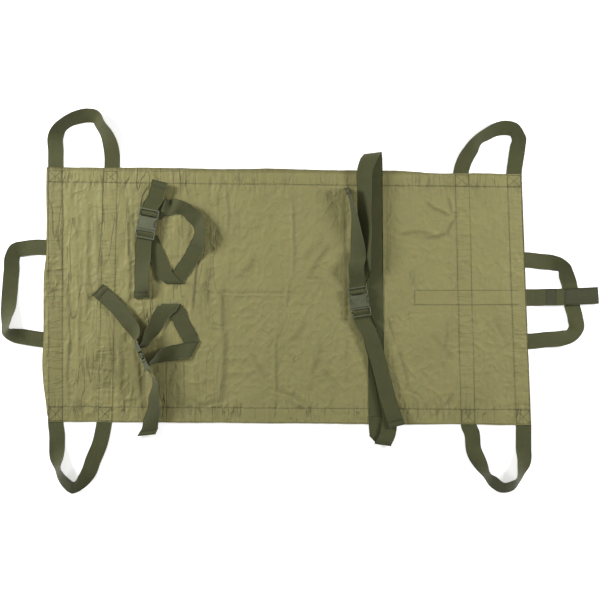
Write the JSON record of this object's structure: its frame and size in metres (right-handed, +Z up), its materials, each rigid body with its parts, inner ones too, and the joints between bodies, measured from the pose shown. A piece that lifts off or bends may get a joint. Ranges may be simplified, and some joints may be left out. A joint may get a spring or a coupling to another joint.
{
  "type": "folding stretcher",
  "caption": "Soft folding stretcher: an olive fabric carrying sheet with webbing handles, buckled leg and chest belts and a closure strap.",
  "frame": {"origin": "centre of the middle of the sheet on its underside, where it lies on the ground", "axes": "+X towards the head end, +Y towards the right-hand side of a patient lying on it, +Z up from the ground"},
  "size_m": [1.91, 1.2265, 0.0705],
  "materials": {
    "fabric": "coated olive fabric",
    "hem_fabric": "coated olive fabric, sewn double",
    "webbing": "ribbed olive webbing",
    "hook_loop_tape": "hook and loop tape",
    "buckle_plastic": "moulded plastic, fine grain"
  },
  "bodies": {
    "middle": {"middle_panel": "fabric", "middle_hems": "hem_fabric", "chest_back_run": "webbing"},
    "foot_fold": {"foot_fold_strip": "fabric", "foot_fold_hems": "hem_fabric"},
    "foot_end": {"foot_panel": "fabric", "foot_hems": "hem_fabric", "foot_edge_band": "webbing", "foot_inner_band": "webbing", "right_leg_anchor": "webbing", "left_leg_anchor": "webbing"},
    "head_fold": {"head_fold_strip": "fabric", "head_fold_hems": "hem_fabric"},
    "head_end": {"head_panel": "fabric", "head_hems": "hem_fabric", "head_inner_band": "webbing", "head_edge_band": "webbing", "closure_band": "webbing"},
    "closure": {"closure_strap": "webbing", "closure_hook_tape": "hook_loop_tape", "closure_loop_tape": "hook_loop_tape"},
    "right_leg_belt": {"right_leg_webbing": "webbing", "right_leg_housing": "buckle_plastic"},
    "left_leg_belt": {"left_leg_webbing": "webbing", "left_leg_housing": "buckle_plastic"},
    "chest_belt": {"chest_right_webbing": "webbing", "chest_left_webbing": "webbing", "chest_housing": "buckle_plastic"},
    "right_leg_release": {"right_leg_latch": "buckle_plastic", "right_leg_tail": "webbing"},
    "left_leg_release": {"left_leg_latch": "buckle_plastic", "left_leg_tail": "webbing"},
    "chest_release": {"chest_latch": "buckle_plastic", "chest_tail": "webbing"},
    "foot_right_grip": {"foot_right_handle": "webbing"},
    "foot_left_grip": {"foot_left_handle": "webbing"},
    "head_right_grip": {"head_right_handle": "webbing"},
    "head_left_grip": {"head_left_handle": "webbing"},
    "foot_end_grip": {"foot_end_handle": "webbing"},
    "head_end_grip": {"head_end_handle": "webbing"},
    "right_leg_prong_a": {"right_leg_prong_a": "buckle_plastic"},
    "right_leg_prong_b": {"right_leg_prong_b": "buckle_plastic"},
    "left_leg_prong_a": {"left_leg_prong_a": "buckle_plastic"},
    "left_leg_prong_b": {"left_leg_prong_b": "buckle_plastic"},
    "chest_prong_a": {"chest_prong_a": "buckle_plastic"},
    "chest_prong_b": {"chest_prong_b": "buckle_plastic"}
  },
  "joints": [
    {"name": "foot_fold_hinge", "type": "hinge", "parent": "middle", "child": "foot_fold", "pos_m": [-0.112, 0, 0.003], "axis": [0, 1, 0], "range_deg": [0, 90]},
    {"name": "foot_panel_hinge", "type": "hinge", "parent": "foot_fold", "child": "foot_end", "pos_m": [-0.252, 0, 0.003], "axis": [0, 1, 0], "range_deg": [0, 90]},
    {"name": "head_fold_hinge", "type": "hinge", "parent": "middle", "child": "head_fold", "pos_m": [0.42, 0, 0.003], "axis": [0, -1, 0], "range_deg": [0, 90]},
    {"name": "head_panel_hinge", "type": "hinge", "parent": "head_fold", "child": "head_end", "pos_m": [0.48, 0, 0.003], "axis": [0, -1, 0], "range_deg": [0, 90]},
    {"name": "foot_right_handle_lift", "type": "hinge", "parent": "foot_end", "child": "foot_right_grip", "pos_m": [-0.646, 0.41085, 0.003], "axis": [-0.9999, 0.0106, 0], "range_deg": [-140, 0]},
    {"name": "head_right_handle_lift", "type": "hinge", "parent": "head_end", "child": "head_right_grip", "pos_m": [0.644, 0.39717, 0.003], "axis": [-0.9999, 0.0106, 0], "range_deg": [-140, 0]},
    {"name": "foot_left_handle_lift", "type": "hinge", "parent": "foot_end", "child": "foot_left_grip", "pos_m": [-0.658, -0.39972, 0.003], "axis": [1, -0.0065, 0], "range_deg": [-140, 0]},
    {"name": "head_left_handle_lift", "type": "hinge", "parent": "head_end", "child": "head_left_grip", "pos_m": [0.674, -0.40838, 0.003], "axis": [1, -0.0065, 0], "range_deg": [-140, 0]},
    {"name": "foot_end_handle_lift", "type": "hinge", "parent": "foot_end", "child": "foot_end_grip", "pos_m": [-0.763, 0.015, 0.003], "axis": [0, -1, 0], "range_deg": [-140, 0]},
    {"name": "head_end_handle_lift", "type": "hinge", "parent": "head_end", "child": "head_end_grip", "pos_m": [0.77, 0, 0.003], "axis": [-0.04, 0.9992, 0], "range_deg": [-100, 0]},
    {"name": "closure_strap_lift", "type": "hinge", "parent": "head_end_grip", "child": "closure", "pos_m": [0.77, 0, 0.003], "axis": [-0.04, 0.9992, 0], "range_deg": [-70, 0]},
    {"name": "right_leg_belt_lift", "type": "hinge", "parent": "foot_end", "child": "right_leg_belt", "pos_m": [-0.256, 0.165, 0.004], "axis": [0, -1, 0], "range_deg": [-90, 0]},
    {"name": "left_leg_belt_lift", "type": "hinge", "parent": "foot_end", "child": "left_leg_belt", "pos_m": [-0.256, -0.13, 0.004], "axis": [0, -1, 0], "range_deg": [-90, 0]},
    {"name": "chest_belt_lift", "type": "hinge", "parent": "middle", "child": "chest_belt", "pos_m": [0.381, 0, 0.004], "axis": [0, -1, 0], "range_deg": [-60, 0]},
    {"name": "right_leg_buckle_release", "type": "slide", "parent": "right_leg_belt", "child": "right_leg_release", "axis": [0.1908, 0.9816, 0], "range_m": [-0.04, 0], "deforming": ["right_leg_prong_a", "right_leg_prong_b"]},
    {"name": "right_leg_prong_a_squeeze", "type": "hinge", "parent": "right_leg_release", "child": "right_leg_prong_a", "pos_m": [-0.46363, 0.22331, 0.017], "axis": [0, 0, 1], "range_deg": [-5, 0], "stiffness_Nm_per_rad": 0.5},
    {"name": "right_leg_prong_b_squeeze", "type": "hinge", "parent": "right_leg_release", "child": "right_leg_prong_b", "pos_m": [-0.42633, 0.21606, 0.017], "axis": [0, 0, -1], "range_deg": [-5, 0], "stiffness_Nm_per_rad": 0.5},
    {"name": "left_leg_buckle_release", "type": "slide", "parent": "left_leg_belt", "child": "left_leg_release", "axis": [-0.4226, 0.9063, 0], "range_m": [-0.04, 0], "deforming": ["left_leg_prong_a", "left_leg_prong_b"]},
    {"name": "left_leg_prong_a_squeeze", "type": "hinge", "parent": "left_leg_release", "child": "left_leg_prong_a", "pos_m": [-0.44991, -0.20184, 0.01907], "axis": [-0.9029, -0.421, 0.0872], "range_deg": [-5, 0], "stiffness_Nm_per_rad": 0.5},
    {"name": "left_leg_prong_b_squeeze", "type": "hinge", "parent": "left_leg_release", "child": "left_leg_prong_b", "pos_m": [-0.44691, -0.20044, 0.05693], "axis": [0.9029, 0.421, -0.0872], "range_deg": [-5, 0], "stiffness_Nm_per_rad": 0.5},
    {"name": "chest_buckle_release", "type": "slide", "parent": "chest_belt", "child": "chest_release", "axis": [-0.1564, 0.9877, 0], "range_m": [-0.04, 0], "deforming": ["chest_prong_a", "chest_prong_b"]},
    {"name": "chest_prong_a_squeeze", "type": "hinge", "parent": "chest_release", "child": "chest_prong_a", "pos_m": [0.21767, -0.03238, 0.017], "axis": [0, 0, 1], "range_deg": [-5, 0], "stiffness_Nm_per_rad": 0.5},
    {"name": "chest_prong_b_squeeze", "type": "hinge", "parent": "chest_release", "child": "chest_prong_b", "pos_m": [0.25521, -0.02644, 0.017], "axis": [0, 0, -1], "range_deg": [-5, 0], "stiffness_Nm_per_rad": 0.5}
  ],
  "couplings": [
    {"joint": "foot_panel_hinge", "follows": "foot_fold_hinge", "ratio": 1},
    {"joint": "head_panel_hinge", "follows": "head_fold_hinge", "ratio": 1},
    {"joint": "right_leg_prong_b_squeeze", "follows": "right_leg_prong_a_squeeze", "ratio": 1},
    {"joint": "left_leg_prong_b_squeeze", "follows": "left_leg_prong_a_squeeze", "ratio": 1},
    {"joint": "chest_prong_b_squeeze", "follows": "chest_prong_a_squeeze", "ratio": 1}
  ]
}
